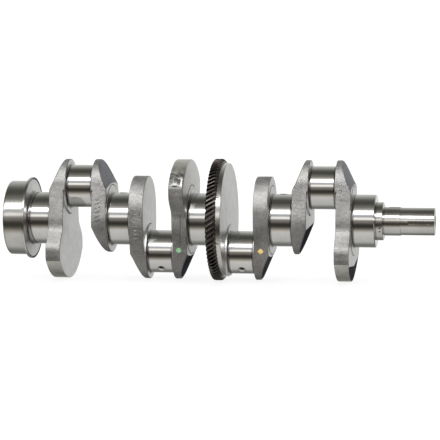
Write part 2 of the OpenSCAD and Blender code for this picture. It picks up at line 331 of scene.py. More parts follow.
def lathe_faces(profile, centre_z=0.0, around=AROUND):
    """Points and faces of a profile of (x, radius) turned about a line along X. Each stretch of the profile
    makes as many faces as there are points around."""
    verts, faces, rows = [], [], []
    for x, r in profile:
        if r < 1e-6:
            rows.append([len(verts)])
            verts.append((x, 0.0, centre_z))
            continue
        rows.append(range(len(verts), len(verts) + around))
        for i in range(around):
            a = 2 * math.pi * i / around
            verts.append((x, r * math.sin(a), centre_z + r * math.cos(a)))
    for one, two in zip(rows, rows[1:]):
        for i in range(around):
            j = (i + 1) % around
            if len(one) == 1:
                faces.append((one[0], two[j], two[i]))
            elif len(two) == 1:
                faces.append((one[i], one[j], two[0]))
            else:
                faces.append((one[i], one[j], two[j], two[i]))
    return verts, faces


def turned(name, profile, finishes, centre_z=0.0):
    """A turned piece; finishes is one material, or a list with one for each stretch of its profile."""
    if not isinstance(finishes, list):
        finishes = [finishes] * (len(profile) - 1)
    kinds = [mat for i, mat in enumerate(finishes) if mat not in finishes[:i]]
    verts, faces = lathe_faces(profile, centre_z)
    indices = [kinds.index(finishes[i // AROUND]) for i in range(len(faces))]
    return make_object(name, verts, faces, kinds, indices)


def arc(cx, cr, radius, start, end, steps=8):
    """Points (x, radius) along an arc of a profile, angles in degrees from the +X direction."""
    out = []
    for i in range(steps + 1):
        a = math.radians(start + (end - start) * i / steps)
        out.append((cx + radius * math.cos(a), cr + radius * math.sin(a)))
    return out


def land(x0, x1, r, start=0.4, end=0.4, rows=3):
    """A turned land between x0 and x1 with a small round-over at each end."""
    out = arc(x0 + start, r - start, start, 180, 90, 4)
    out += [(x0 + start + (x1 - x0 - start - end) * i / rows, r) for i in range(1, rows)]
    return out + arc(x1 - end, r - end, end, 90, 0, 4)


def apply_modifiers(obj, sharp):
    """Turns what the modifiers make into the object's own plain mesh."""
    bpy.context.view_layer.update()
    mesh = bpy.data.meshes.new_from_object(obj.evaluated_get(bpy.context.evaluated_depsgraph_get()))
    obj.modifiers.clear()
    obj.data = mesh
    tidy(obj, sharp)


def carve(obj, cutters, sharp=35):
    """Cuts the cutters out of obj and leaves a plain mesh."""
    for cutter in cutters:
        mod = obj.modifiers.new("cut", "BOOLEAN")
        mod.operation = "DIFFERENCE"
        mod.solver = "EXACT"
        mod.material_mode = "TRANSFER"
        mod.object = cutter
    apply_modifiers(obj, sharp)
    for cutter in cutters:
        bpy.data.objects.remove(cutter)
    return obj


def drill(start, end, profile, around=40, finishes=None):
    """A turned cutter along the line from start to end. Its profile is (distance along, radius), and finishes
    gives the material, near-black painted shade or turned, that each stretch of the profile leaves on the
    wall that it cuts; by default every stretch leaves painted shade."""
    start, end = Vector(start), Vector(end)
    turn = (end - start).to_track_quat("X", "Z").to_matrix()
    verts, faces = lathe_faces([(profile[0][0], 0.0), *profile, (profile[-1][0], 0.0)], 0.0, around)
    verts = [start + turn @ Vector(v) for v in verts]
    kinds = [PAINTED_SHADE, TURNED]
    rows = [PAINTED_SHADE, *(finishes or [PAINTED_SHADE] * (len(profile) - 1)), PAINTED_SHADE]
    indices = [kinds.index(rows[i // around]) for i in range(len(faces))]
    return make_object("cutter", verts, faces, kinds, indices)


def block(low, high, turn=0.0, finish=PAINTED_SHADE):
    """A box cutter, turned about the shaft's axis by an angle in degrees. Its walls take near-black painted
    shade unless another finish is given.
    """
    corners = [Vector((x, y, z)) for x in (low[0], high[0]) for y in (low[1], high[1])
               for z in (low[2], high[2])]
    about = Matrix.Rotation(math.radians(turn), 3, "X")
    faces = [(0, 1, 3, 2), (4, 6, 7, 5), (0, 4, 5, 1), (2, 3, 7, 6), (0, 2, 6, 4), (1, 5, 7, 3)]
    return make_object("cutter", [about @ c for c in corners], faces, [finish])


def stands_for(obj, node):
    """Puts a finished piece in the place of its CAD node, on the shaft's one body."""
    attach(obj, "root")
    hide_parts(node)


# ---------------------------------------------------------------- journals and turned ends

def middle(node):
    low, high = span(node)
    return (low[0] + high[0]) / 2


# The first and last main journals aren't as long as the others, so the pitch gives their places.
MAIN_X = {k: middle(f"main_journal_{k}") for k in (2, 3, 4)}
PITCH = MAIN_X[3] - MAIN_X[2]
MAIN_X[1] = MAIN_X[2] - PITCH
MAIN_X[5] = MAIN_X[4] + PITCH
PIN_X = {k: middle(f"crankpin_{k}") for k in THROW_SIDE}


def oil_cutters(throw, main):
    """Mouth of one throw's oil drilling, at its crankpin or at the far side of its main journal."""
    side = THROW_SIDE[throw]
    from_x = MAIN_X[throw if throw <= 2 else throw + 1]
    entry = Vector((from_x, 0, -side * MAIN_R))
    away = Vector((0, side * math.sin(OIL_ANGLE), side * math.cos(OIL_ANGLE)))
    leave = Vector((PIN_X[throw], 0, side * THROW)) + away * PIN_R
    if main:
        at, inwards, far_end, start = entry, Vector((0, 0, side)), leave, -4
    else:
        at, inwards, far_end, start = leave, -away, entry, -6
    mouth = [(-3, OIL_MOUTH_R + 0.2), (0.9, OIL_MOUTH_R), (2.4, OIL_R + 0.6), (3.0, OIL_R - 0.4)]
    # The mouth's lip and the drilled bore take near-black painted shade; the countersink stays turned.
    return [drill(at, at + inwards, mouth, 40, [PAINTED_SHADE, TURNED, PAINTED_SHADE]),
            drill(at, far_end, [(start, OIL_R), (16, OIL_R)])]


def journal(name, node, r, centre_z, cutters=(), open_end=False):
    """A ground journal whose rolled fillets flare out to the shoulders at its ends."""
    low, high = span(node)
    x0, x1 = low[0], high[0]
    chamfer, rows = 1.2, 8
    fillet = arc(x0 + FILLET, r + FILLET, FILLET, 180, 270, 10)
    end = x1 - (chamfer if open_end else FILLET)
    profile = [(x0, 0), (x0, r + FILLET), *fillet[1:]]
    profile += [(x0 + FILLET + (end - x0 - FILLET) * i / rows, r) for i in range(1, rows + 1)]
    if open_end:
        profile += [(x1, r - chamfer), (x1, 0)]
    else:
        profile += arc(x1 - FILLET, r + FILLET, FILLET, 270, 360, 10)[1:] + [(x1, 0)]
    flared = [min(a[1], b[1]) > r - 0.01 and max(a[1], b[1]) > r + 0.02 for a, b in zip(profile, profile[1:])]
    # The fillets take the rolled-fillet steel, whose darker colour is painted shade in the corners.
    obj = turned(name, profile, [ROLLED if flare else GROUND for flare in flared], centre_z)
    if cutters:
        carve(obj, cutters)
    stands_for(obj, node)


# Each throw is fed from the main journal beside it; the middle one has no drilling.
FED_THROW = {1: 1, 2: 2, 4: 3, 5: 4}
for k in range(1, 6):
    feeds = oil_cutters(FED_THROW[k], True) if k in FED_THROW else ()
    journal(f"ground_main_{k}", f"main_journal_{k}", MAIN_R, 0.0, feeds, k == 5)
for k in range(1, 5):
    journal(f"ground_pin_{k}", f"crankpin_{k}", PIN_R, THROW_SIDE[k] * THROW, oil_cutters(k, False))


def seal_flange():
    """Flywheel flange: polished seal land, faced rear with its bolt circle and pilot bore."""
    low, high = span("rear_flange")
    x0, x1, r = low[0], high[0], high[2]
    pilot, pilot_deep, bolt, bolt_deep, circle, corner = 20.0, 22.0, 5.75, 24.0, 44.45, 2.6
    profile = [(pilot_deep, 0), (pilot_deep, pilot - 1), (pilot_deep - 1, pilot), (x0 + 1.2, pilot),
               (x0, pilot + 1.2), (x0, r - corner)]
    profile += arc(x0 + corner, r - corner, corner, 180, 90, 6)
    profile += [(x0 + corner + (x1 - x0 - corner - 0.8) * i / 5, r) for i in range(1, 5)]
    profile += [(x1 - 0.8, r), (x1, r - 0.8), (x1, 0)]
    obj = turned("seal_flange", profile, TURNED)
    hole = [(-1, bolt + 2), (0, bolt + 1), (1, bolt), (bolt_deep, bolt), (bolt_deep + 2.5, 0.4)]
    # The bolt holes' walls take near-black painted shade.
    cutters = []
    for i in range(6):
        a = math.radians(60 * (i + 0.5))
        at = Vector((x0, -circle * math.sin(a), circle * math.cos(a)))
        cutters.append(drill(at, at + Vector((1, 0, 0)), hole))
    stands_for(carve(obj, cutters), "rear_flange")


def thrower_collar():
    """Oil thrower: a thin collar behind the seal land, with a groove near the rim of its face painted near
    black as shade.
    """
    low, high = span("oil_thrower")
    x0, x1, r = low[0], high[0], high[2]
    back = [(x0, 0), (x0, 60.1), (x0 + 0.3, 60.1), (x0 + 0.3, r - 1.4)]
    rim = land(x0 + 0.3, x1, r, 0.5, 0.5, 2)
    relief = [(x1, r - 1.9), (x1 - 0.9, r - 2.3), (x1 - 0.9, r - 3.3)]
    face = [(x1 - 0.3, r - 3.8), (x1 - 0.3, 49.5), (x1, 48.5), (x1, 0)]
    # A step on the back and the relief groove take near-black painted shade.
    finishes = [TURNED, PAINTED_SHADE, PAINTED_SHADE] + [TURNED] * len(rim) + [PAINTED_SHADE] * len(relief) + [FACED] * len(face)
    stands_for(turned("thrower_collar", back + rim + relief + face, finishes), "oil_thrower")


def nose_collar():
    """Collar and cone between the front main journal and the timing gear seat, with two punch marks."""
    low, high = span("front_collar")
    x0, x1, r = low[0], high[0], high[2]
    wide, cone_r, punch_x = 11.5, 24.115, 7.0
    profile = [(x0, 0)] + land(x0, x0 + wide, r, 0.6, 1.0, 3) + [(x1, cone_r), (x1, 0)]
    obj = turned("nose_collar", profile, TURNED)
    # The punch marks take near-black painted shade.
    cutters = []
    for below in (15, 26):
        a = math.radians(below)
        at = Vector((x0 + punch_x, -r * math.cos(a), -r * math.sin(a)))
        cutters.append(drill(at, Vector((at.x, 0, 0)), [(-1, 1.6), (0, 1.3), (0.9, 0.5)], 20))
    stands_for(carve(obj, cutters), "front_collar")


def gear_seat():
    """Timing gear seat with the slot for a half-round key on top."""
    low, high = span("timing_gear_seat")
    x0, x1, r = low[0], high[0], high[2]
    key_r, key_deep, key_back = 11.5, 4.0, 10.5
    profile = [(x0, 0)] + land(x0, x1, r, 0.05, 0.7, 4) + [(x1, 0)]
    obj = turned("gear_seat", profile, TURNED)
    at = Vector((x1 - key_back, -KEY_W / 2, r - key_deep + key_r))
    # The key slot's walls take near-black painted shade.
    slot = drill(at, at + Vector((0, 1, 0)), [(0, key_r), (KEY_W, key_r)], 96)
    stands_for(carve(obj, [slot]), "timing_gear_seat")


def pulley_end():
    """Pulley seat with an open keyway along its side and the hole for the pulley bolt."""
    low, high = span("pulley_seat")
    x0, x1, r = low[0], high[0], high[2]
    bolt, bolt_deep, key_long, key_deep = 7.25, 40, 42, 3.4
    profile = [(x0, 0)] + land(x0, x1, r, 0.05, 1.2, 6)
    profile += [(x1, bolt + 2), (x1 - 2, bolt), (x1 - bolt_deep, bolt), (x1 - bolt_deep - 3, 0)]
    obj = turned("pulley_end", profile, TURNED)
    keyway = block((x1 - key_long, -r - 3, -KEY_W / 2), (x1 + 1, -r + key_deep, KEY_W / 2), 0.0, TURNED)
    stands_for(carve(obj, [keyway]), "pulley_seat")


seal_flange()
thrower_collar()
nose_collar()
gear_seat()
pulley_end()


# ---------------------------------------------------------------- webs

def arm(v, w):
    """Is a point of the throw-up web in its arm: two circles and their tangents."""
    b = (MAIN_END_R - PIN_END_R) / THROW
    a = math.sqrt(1 - b * b)
    k = -b * abs(v) + a * w
    if k < 0:
        return math.hypot(v, w) <= MAIN_END_R
    if k > a * THROW:
        return math.hypot(v, w - THROW) <= PIN_END_R
    return a * abs(v) + b * w <= MAIN_END_R


def small_weight(v, w):
    """Small counterweight: the main end drawn out by 15.7 mm away from the throw."""
    return math.hypot(v, w - max(-15.7, min(0.0, w))) <= MAIN_END_R


def in_polygon(v, w, points):
    found = False
    for (v0, w0), (v1, w1) in zip(points, points[1:] + points[:1]):
        if (w0 > w) != (w1 > w) and v < (v1 - v0) * (w - w0) / (w1 - w0) + v0:
            found = not found
    return found


def large_weight(half):
    """Large counterweight: turned rim, rounded corner, upright cheek, knee and hollow waist."""
    corner_r, knee_r, waist_r, lean = 12.0, 19.0, 20.0, math.radians(42)
    reach = WEIGHT_R - corner_r + 0.02
    cv = half - corner_r
    corner = (cv, -math.sqrt(reach ** 2 - cv ** 2))
    rim = tuple(c * WEIGHT_R / reach for c in corner)
    knee = (half - knee_r, corner[1] + corner_r - 3)
    kp = (knee[0] + knee_r * math.cos(lean), knee[1] + knee_r * math.sin(lean))
    waist = kp[1] + (kp[0] - MAIN_END_R) / math.tan(lean)
    run = waist_r * math.tan(lean / 2)
    slope = (MAIN_END_R + run * math.sin(lean), waist - run * math.cos(lean))
    body = [(-1, 1), (MAIN_END_R, 1), (MAIN_END_R, waist), kp, knee, (half, knee[1]), (half, corner[1]),
            corner, rim, (2 * rim[0], 2 * rim[1]), (-1, -2 * WEIGHT_R)]
    hollow = [(MAIN_END_R - 1, waist + run), (MAIN_END_R, waist + run), slope, (MAIN_END_R - 1, slope[1])]

    def inside(v, w):
        v = abs(v)
        if math.hypot(v, w) <= WEIGHT_R and in_polygon(v, w, body):
            return True
        if math.dist((v, w), corner) <= corner_r or math.dist((v, w), knee) <= knee_r:
            return True
        return in_polygon(v, w, hollow) and math.hypot(v - MAIN_END_R - waist_r, w - waist - run) >= waist_r
    return inside


def ray_outline(inside, spacing=1.7):
    """Closed outline as evenly spaced points, found along rays from the shaft's axis."""
    raw = []
    for i in range(1440):
        a = 2 * math.pi * i / 1440
        near, far = 20.0, 130.0
        for _ in range(26):
            mid = (near + far) / 2
            if inside(mid * math.cos(a), mid * math.sin(a)):
                near = mid
            else:
                far = mid
        raw.append((near * math.cos(a), near * math.sin(a)))
    return even(raw, spacing)


def even(points, spacing):
    """A closed line of points spaced evenly along its length."""
    ring = points + points[:1]
    lengths = [0.0]
    for one, two in zip(ring, ring[1:]):
        lengths.append(lengths[-1] + math.dist(one, two))
    count = round(lengths[-1] / spacing)
    out, at = [], 0
    for i in range(count):
        want = lengths[-1] * i / count
        while lengths[at + 1] < want:
            at += 1
        t = (want - lengths[at]) / max(lengths[at + 1] - lengths[at], 1e-9)
        out.append(tuple(ring[at][c] + (ring[at + 1][c] - ring[at][c]) * t for c in (0, 1)))
    return out


def inward(ring):
    """Inward unit normals of a ring that runs anticlockwise."""
    out = []
    for i in range(len(ring)):
        dv = ring[(i + 1) % len(ring)][0] - ring[i - 1][0]
        dw = ring[(i + 1) % len(ring)][1] - ring[i - 1][1]
        size = math.hypot(dv, dw)
        out.append((-dw / size, dv / size))
    return out


def circle_points(centre, r, spacing=1.6):
    count = int(2 * math.pi * r / spacing)
    turns = [2 * math.pi * i / count for i in range(count)]
    return [(centre[0] + r * math.cos(a), centre[1] + r * math.sin(a)) for a in turns]


def fill_face(ring, features, grid=3.2):
    """Triangles over the inside of a ring, with points along the feature lines and a grid between them."""
    tree = KDTree(len(ring))
    for i, p in enumerate(ring):
        tree.insert((p[0], p[1], 0), i)
    tree.balance()

    def clear(p, gap):
        return in_polygon(p[0], p[1], ring) and tree.find((p[0], p[1], 0))[2] > gap
    points, edges, marks = [Vector(p) for p in ring], [], []
    for line, closed in features:
        last, first = None, len(points)
        for i, p in enumerate(line):
            if clear(p, 0.45):
                points.append(Vector(p))
                marks.append(p)
                if last == i - 1 and last is not None:
                    edges.append((len(points) - 2, len(points) - 1))
                last = i
        if closed and len(points) - first == len(line):
            edges.append((len(points) - 1, first))
    near = KDTree(len(marks))
    for i, p in enumerate(marks):
        near.insert((p[0], p[1], 0), i)
    near.balance()
    low = [min(p[c] for p in ring) for c in (0, 1)]
    high = [max(p[c] for p in ring) for c in (0, 1)]
    row, w = 0, low[1]
    while w < high[1]:
        v = low[0] + (row % 2) * grid / 2
        while v < high[0]:
            if clear((v, w), grid * 0.5) and (not marks or near.find((v, w, 0))[2] > grid * 0.4):
                points.append(Vector((v, w)))
            v += grid
        w += grid * 0.866
        row += 1
    out, _, triangles, came_from, _, _ = delaunay_2d_cdt(points, edges, [list(range(len(ring)))], 1, 1e-7)
    where = {}
    for i, sources in enumerate(came_from):
        for s in sources:
            if s < len(ring):
                where[s] = i
    return out, triangles, where


def slab(name, ring, side, low_x, high_x, rises, lines, edge, wall_rows, waves, finishes, paint):
    """A web between two planes across the shaft, in throw-up coordinates v and w. The low face comes first in
    rises, how far a face stands proud of its plane, and in lines, the edges on a face. edge is the round-over
    along the outline, waves moves the wall in or out, and paint picks one of the finishes for each face."""
    normals = inward(ring)
    count = len(ring)
    verts, faces, indices, rows = [], [], [], []

    def add_row(points):
        rows.append(len(verts))
        verts.extend(points)

    def rounded(face_x, out, rise, steps):
        done = []
        for a in steps:
            row = []
            for (v, w), (nv, nw) in zip(ring, normals):
                e = edge(v, w, out)
                inner = (v + nv * e, w + nw * e)
                x = face_x + out * rise(*inner) - out * e * (1 - math.sin(a))
                grow = e * (1 - math.cos(a))
                row.append((x, side * (v + nv * grow), side * (w + nw * grow)))
            done.append(row)
        return done
    turns = [math.pi / 2 * i / 4 for i in range(5)]
    low_rows = rounded(low_x, -1, rises[0], turns[::-1])
    high_rows = rounded(high_x, 1, rises[1], turns)
    for row in low_rows:
        add_row(row)
    for j in range(1, wall_rows):
        t = j / wall_rows
        row = []
        for i, (nv, nw) in enumerate(normals):
            x = low_rows[-1][i][0] * (1 - t) + high_rows[0][i][0] * t
            push = waves(ring[i][0], ring[i][1], x) * math.sin(math.pi * t) ** 0.5
            row.append((x, side * (ring[i][0] - nv * push), side * (ring[i][1] - nw * push)))
        add_row(row)
    for row in high_rows:
        add_row(row)
    for r0, r1 in zip(rows, rows[1:]):
        for i in range(count):
            j = (i + 1) % count
            faces.append((r0 + i, r0 + j, r1 + j, r1 + i))
            indices.append(finishes.index(paint(ring[i][0], ring[i][1], 0, verts[r0 + i][0])))
    for face_x, out, rise, marked, start in ((low_x, -1, rises[0], lines[0], rows[0]),
                                             (high_x, 1, rises[1], lines[1], rows[-1])):
        flat = [(side * verts[start + i][1], side * verts[start + i][2]) for i in range(count)]
        points, triangles, where = fill_face(flat, marked)
        known = {i: start + s for s, i in where.items()}
        index = []
        for i, p in enumerate(points):
            if i in known:
                index.append(known[i])
            else:
                index.append(len(verts))
                verts.append((face_x + out * rise(p[0], p[1]), side * p[0], side * p[1]))
        for tri in triangles:
            corner = [index[t] for t in tri]
            faces.append(corner)
            v = sum(points[t][0] for t in tri) / 3
            w = sum(points[t][1] for t in tri) / 3
            indices.append(finishes.index(paint(v, w, out, face_x)))
    return make_object(name, verts, faces, finishes, indices, 28)


def step(distance):
    """1 inside an edge, 0 outside it, with a slope half a millimetre wide between."""
    t = max(0.0, min(1.0, 0.5 - distance / 0.5))
    return t * t * (3 - 2 * t)


def groove(distance):
    """A round-bottomed groove just outside an edge, 1.4 mm wide and 0.7 mm deep."""
    t = (distance - 0.98) / 0.7
    return -0.7 * max(0.0, 1 - t * t)


def upper_bevel_start(v):
    """Where the bevel at a crankpin end starts: a shallow arc across the web."""
    return 58.5 - v * v / 330


def low_relief_start(v):
    """Where the relief at the foot of the last counterweight starts; below it the face is painted dark, a
    painted reflection.
    """
    return -73.0 + 9.0 * min(1.0, abs(v) / 79.0)


def web_rises(kind, number):
    """How far the crankpin side and the main side of a throw-up web stand proud of their planes."""
    depth = 23.9 - 6.5      # the web's thickness less what is left of it at the end of a bevel

    def upper_bevel(v, w):
        start = upper_bevel_start(v)
        u = (w - start) / (WEB_TIP - start)
        return 0.0 if u <= 0 else depth * u + 6.0 * u * (1 - u)

    def pin_side(v, w):
        away = math.hypot(v, w - THROW) - PIN_END_R
        rise = PIN_SHOULDER * step(away - 0.2) + groove(away)
        if kind == "none" and w < -9:
            rise = min(rise, 0.0) - depth * (-9 - w) / (MAIN_END_R - 9)
        return rise

    def main_side(v, w):
        away = math.hypot(v, w) - MAIN_END_R
        rise = MAIN_SHOULDER * step(away) + groove(away)
        if kind != "disc":
            cut = upper_bevel(v, w)
            if cut > 0:
                rise = min(rise, 0.0) * max(0.0, 1 - cut) - cut
        below = low_relief_start(v) - w
        if number == 8 and below > 0:
            rise -= min(0.5, below) + 3.0 * below / 34
        return rise
    return pin_side, main_side


def forged_web(number):
    """One web: arm and counterweight outline, faced cheeks, forged bevels and rounded forged edges."""
    kind = {1: "large", 2: "none", 3: "small", 4: "large", 6: "small", 7: "none", 8: "large"}[number]
    side = THROW_SIDE[(number + 1) // 2]
    low, high = span(f"web_{number}")
    pin_high = number % 2 == 1
    low_x = low[0] + (MAIN_SHOULDER if pin_high else PIN_SHOULDER)
    high_x = high[0] - (PIN_SHOULDER if pin_high else MAIN_SHOULDER)
    weight = large_weight(77.0 if number == 4 else 79.0) if kind == "large" else small_weight

    def inside(v, w):
        return arm(v, w) or (kind != "none" and weight(v, w))
    ring = ray_outline(inside)
    pin_side, main_side = web_rises(kind, number)
    pin_lines = [(circle_points((0, THROW), PIN_END_R + d), True) for d in (-0.1, 0.4, 1.0, 1.7)]
    main_lines = [(circle_points((0, 0), MAIN_END_R + d), True) for d in (-0.25, 0.25, 1.0, 1.7)]
    main_lines.append(([(i * 1.5, upper_bevel_start(i * 1.5)) for i in range(-32, 33)], False))
    if kind == "none":
        pin_lines.append(([(i * 1.5, -9.0) for i in range(-36, 37)], False))
    if number == 8:
        for d in (0.0, 0.6):
            main_lines.append(([(i * 1.5, low_relief_start(i * 1.5) - d) for i in range(-50, 51)], False))

    def on_rim(v, w):
        return kind == "large" and math.hypot(v, w) > WEIGHT_R - 0.1

    def edge(v, w, out):
        forged_edge = 2.4
        on_main = (out < 0) == pin_high
        if kind == "large" and w < -60:
            return forged_edge if number == 4 and on_main else 0.8
        if on_main and w > upper_bevel_start(v) + 1:
            return forged_edge
        if not on_main and kind == "none" and w < -10:
            return forged_edge
        return 1.0

    def torn(v, w, x):
        ragged = 4.0 * noise.noise(Vector((x * 0.2, w * 0.05, 3.0)))
        return number == 4 and v > 0 and -81 + ragged < w < -61.5 and x < high_x - 3.5 + ragged

    def waves(v, w, x):
        if torn(v, w, x):
            return 0.7 + 0.6 * noise.noise(Vector((x * 0.35, v * 0.35, w * 0.35)))
        if on_rim(v, w):
            return 0.0
        at = Vector((x * 0.05 + number * 7, v * 0.05, w * 0.05))
        return 0.35 * noise.noise(at) + 0.12 * noise.noise(at * 4)

    def paint(v, w, out, x):
        if out == 0:
            return TORN if torn(v, w, x) else RIM if on_rim(v, w) else FORGED
        on_main = (out < 0) == pin_high
        # Bevels that face down take the darker scale: painted shade under them.
        if on_main and w > upper_bevel_start(v):
            return SCALE if side > 0 else SHADED_SCALE
        if not on_main and kind == "none" and w < -9:
            return SCALE if side < 0 else SHADED_SCALE
        # The foot of the last counterweight is painted dark: a painted reflection of dark surroundings below,
        # seen at a grazing angle.
        if number == 8 and on_main and w < low_relief_start(v):
            return SHADED_SCALE
        # A ring just outside each shoulder takes near-black painted shade in its groove.
        centre, end_r = (0.0, MAIN_END_R) if on_main else (THROW, PIN_END_R)
        return PAINTED_SHADE if 0.3 < math.hypot(v, w - centre) - end_r < 1.75 else FACED
    rises = (main_side, pin_side) if pin_high else (pin_side, main_side)
    lines = (main_lines, pin_lines) if pin_high else (pin_lines, main_lines)
    finishes = [FORGED, RIM, FACED, SCALE, PAINTED_SHADE, SHADED_SCALE, TORN]
    obj = slab(f"forged_web_{number}", ring, side, low_x, high_x, rises, lines, edge, 10, waves,
               finishes, paint)
    stands_for(obj, f"web_{number}")
    return ring


FORGED_WEBS = (1, 2, 3, 4, 6, 7, 8)
WEB_RING = {k: forged_web(k) for k in FORGED_WEBS}


def disc_web():
    """Middle web: a turned disc beside the ring gear's seat, with the crankpin's shoulder on its face."""
    low, high = span("web_5")
    seat_x = span("balancer_ring_gear")[1][0]
    back_x, face_x = low[0] + MAIN_SHOULDER, high[0] - PIN_SHOULDER
    disc_r, seat_r, overlap = 92.5, 86.0, 0.5
    profile = [(low[0], 0), (low[0], MAIN_END_R), (back_x, MAIN_END_R + 0.1), (back_x, seat_r - 1),
               (back_x + 1, seat_r), (seat_x + overlap, seat_r), (seat_x + overlap, 0)]
    seat = turned("disc_seat", profile, TURNED)

    def plain(v, w):
        return 0.0

    def pin_side(v, w):
        away = math.hypot(v, w - THROW) - PIN_END_R
        return (PIN_SHOULDER * step(away - 0.2) + groove(away)) * step(math.hypot(v, w) - 91.2)
    turns = [math.pi * i / 720 for i in range(1440)]
    ring = even([(disc_r * math.cos(a), disc_r * math.sin(a)) for a in turns], 1.5)
    lines = [(circle_points((0, THROW), PIN_END_R + d), True) for d in (-0.1, 0.4, 1.0, 1.7)]
    disc = slab("faced_disc", ring, -1, seat_x, face_x, (plain, pin_side), ([], lines),
                lambda v, w, out: 0.9 if out > 0 else 0.4, 4, lambda v, w, x: 0.0,
                [TURNED, FACED], lambda v, w, out, x: FACED if out else TURNED)
    # Timing marks cut across the rim: start and end along the shaft from the gear, and the angle around it.
    marks = ((-1.0, 5.0, -29.1), (-1.0, 2.6, 17.2), (2.0, 5.5, 18.0))
    # The cut slots take the blocks' near-black painted shade.
    carve(disc, [block((seat_x + start, -disc_r - 2, -0.7), (seat_x + end, -disc_r + 0.8, 0.7), turn)
                 for start, end, turn in marks], 28)
    for piece in (seat, disc):
        stands_for(piece, "web_5")


disc_web()


# ---------------------------------------------------------------- ring gear

def ring_gear():
    """The balancer's ring gear: a plain rim, and helical teeth repeated around it by Geometry Nodes."""
    low, high = span("balancer_ring_gear")
    x0, x1, tip = low[0], high[0], high[2]
    bore, depth, corner = 86.05, 4.7, 0.8
    root = tip - depth
    profile = [(x0, bore), (x0, root - corner), (x0 + corner, root), (x1 - corner, root), (x1, root - corner),
               (x1, bore), (x0, bore)]
    rim = make_object("gear_rim", *lathe_faces(profile, 0.0, 312), [BLACKED])

    tree = bpy.data.node_groups.new("ring_gear_teeth", "GeometryNodeTree")
    sizes = {"Teeth": 78, "Tip radius": tip * MM, "Tooth depth": depth * MM, "Face width": (x1 - x0) * MM,
             "Tip thickness": 1.9 * MM, "Root thickness": 5.3 * MM, "Helix angle": math.radians(33),
             "End chamfer": 1.55 * MM, "Middle": (x0 + x1) / 2 * MM}
    tree.interface.new_socket("Geometry", in_out="INPUT", socket_type="NodeSocketGeometry")
    sockets = {}
    for label in [*sizes, "Material"]:
        kind = {"Teeth": "NodeSocketInt", "Material": "NodeSocketMaterial"}.get(label, "NodeSocketFloat")
        sockets[label] = tree.interface.new_socket(label, in_out="INPUT", socket_type=kind).identifier
    tree.interface.new_socket("Geometry", in_out="OUTPUT", socket_type="NodeSocketGeometry")
    given = put(tree, "NodeGroupInput").outputs

    def maths(kind, one, two=0.0):
        return put(tree, "ShaderNodeMath", {0: one, 1: two}, operation=kind).outputs[0]
    # One tooth is a block: X along the shaft, Y across the tooth, Z from just under the root to the tip.
    # Y is one millimetre wide, and is then spread to the tooth's thickness at each height.
    sunk, belly_by = 0.8 * MM, 1.6 * MM
    tall = maths("ADD", given["Tooth depth"], sunk)
    size = put(tree, "ShaderNodeCombineXYZ", {"X": given["Face width"], "Y": MM, "Z": tall}).outputs[0]
    cube = put(tree, "GeometryNodeMeshCube", {
        "Size": size, "Vertices X": 11, "Vertices Y": 3, "Vertices Z": 6}).outputs["Mesh"]
    position = put(tree, "GeometryNodeInputPosition").outputs[0]
    place = put(tree, "ShaderNodeSeparateXYZ", {"Vector": position}).outputs
    up = maths("DIVIDE", maths("ADD", place["Z"], maths("MULTIPLY", tall, 0.5)), tall)
    thick = put(tree, "ShaderNodeMapRange", {
        "Value": up, "To Min": given["Root thickness"], "To Max": given["Tip thickness"]}).outputs[0]
    # The flanks bulge a little and the tip's corners are rounded off.
    belly = maths("MULTIPLY", maths("MULTIPLY", up, maths("SUBTRACT", 1.0, up)), belly_by)
    across = maths("MULTIPLY", place["Y"], maths("MULTIPLY", maths("ADD", thick, belly), 1 / MM))

    def past_end(along, chamfers):
        """How far a point lies inside the chamfer at one end of the tooth."""
        start = maths("SUBTRACT", maths("MULTIPLY", given["Face width"], 0.5),
                      maths("MULTIPLY", given["End chamfer"], chamfers))
        return maths("MAXIMUM", maths("SUBTRACT", along, start))
    ends = maths("ADD", past_end(maths("MULTIPLY", place["X"], -1.0), 1.0), past_end(place["X"], 2.0))
    from_middle = maths("MULTIPLY", maths("ABSOLUTE", place["Y"]), 0.7)
    side_drop = maths("MULTIPLY", from_middle, maths("POWER", up, 6.0))
    drop = maths("ADD", maths("MULTIPLY", ends, up), side_drop)
    radius = maths("SUBTRACT", given["Tip radius"],
                   maths("ADD", maths("MULTIPLY", maths("SUBTRACT", 1.0, up), tall), drop))
    shift = maths("MULTIPLY", place["X"], maths("TANGENT", given["Helix angle"]))
    angle = maths("DIVIDE", maths("ADD", across, shift), given["Tip radius"])
    bent = put(tree, "ShaderNodeCombineXYZ", {
        "X": maths("ADD", place["X"], given["Middle"]),
        "Y": maths("MULTIPLY", radius, maths("SINE", angle)),
        "Z": maths("MULTIPLY", radius, maths("COSINE", angle))}).outputs[0]
    tooth = put(tree, "GeometryNodeSetPosition", {"Geometry": cube, "Position": bent}).outputs[0]
    points = put(tree, "GeometryNodePoints", {"Count": given["Teeth"], "Position": (0, 0, 0)}).outputs[0]
    turn = maths("DIVIDE", maths("MULTIPLY", put(tree, "GeometryNodeInputIndex").outputs[0], 2 * math.pi),
                 given["Teeth"])
    spin = put(tree, "FunctionNodeEulerToRotation", {
        "Euler": put(tree, "ShaderNodeCombineXYZ", {"X": turn}).outputs[0]}).outputs[0]
    around = put(tree, "GeometryNodeInstanceOnPoints", {
        "Points": points, "Instance": tooth, "Rotation": spin}).outputs[0]
    both = put(tree, "GeometryNodeJoinGeometry")
    tree.links.new(around, both.inputs[0])
    tree.links.new(given["Geometry"], both.inputs[0])
    real = put(tree, "GeometryNodeRealizeInstances", {"Geometry": both.outputs[0]}).outputs[0]
    done = put(tree, "GeometryNodeSetMaterial", {"Geometry": real, "Material": given["Material"]}).outputs[0]
    put(tree, "NodeGroupOutput", {"Geometry": done})

    mod = rim.modifiers.new("teeth", "NODES")
    mod.node_group = tree
    for label, value in {**sizes, "Material": BLACKED}.items():
        mod[sockets[label]] = value
    apply_modifiers(rim, 40)
    stands_for(rim, "balancer_ring_gear")


ring_gear()


# ---------------------------------------------------------------- marks on the forged walls

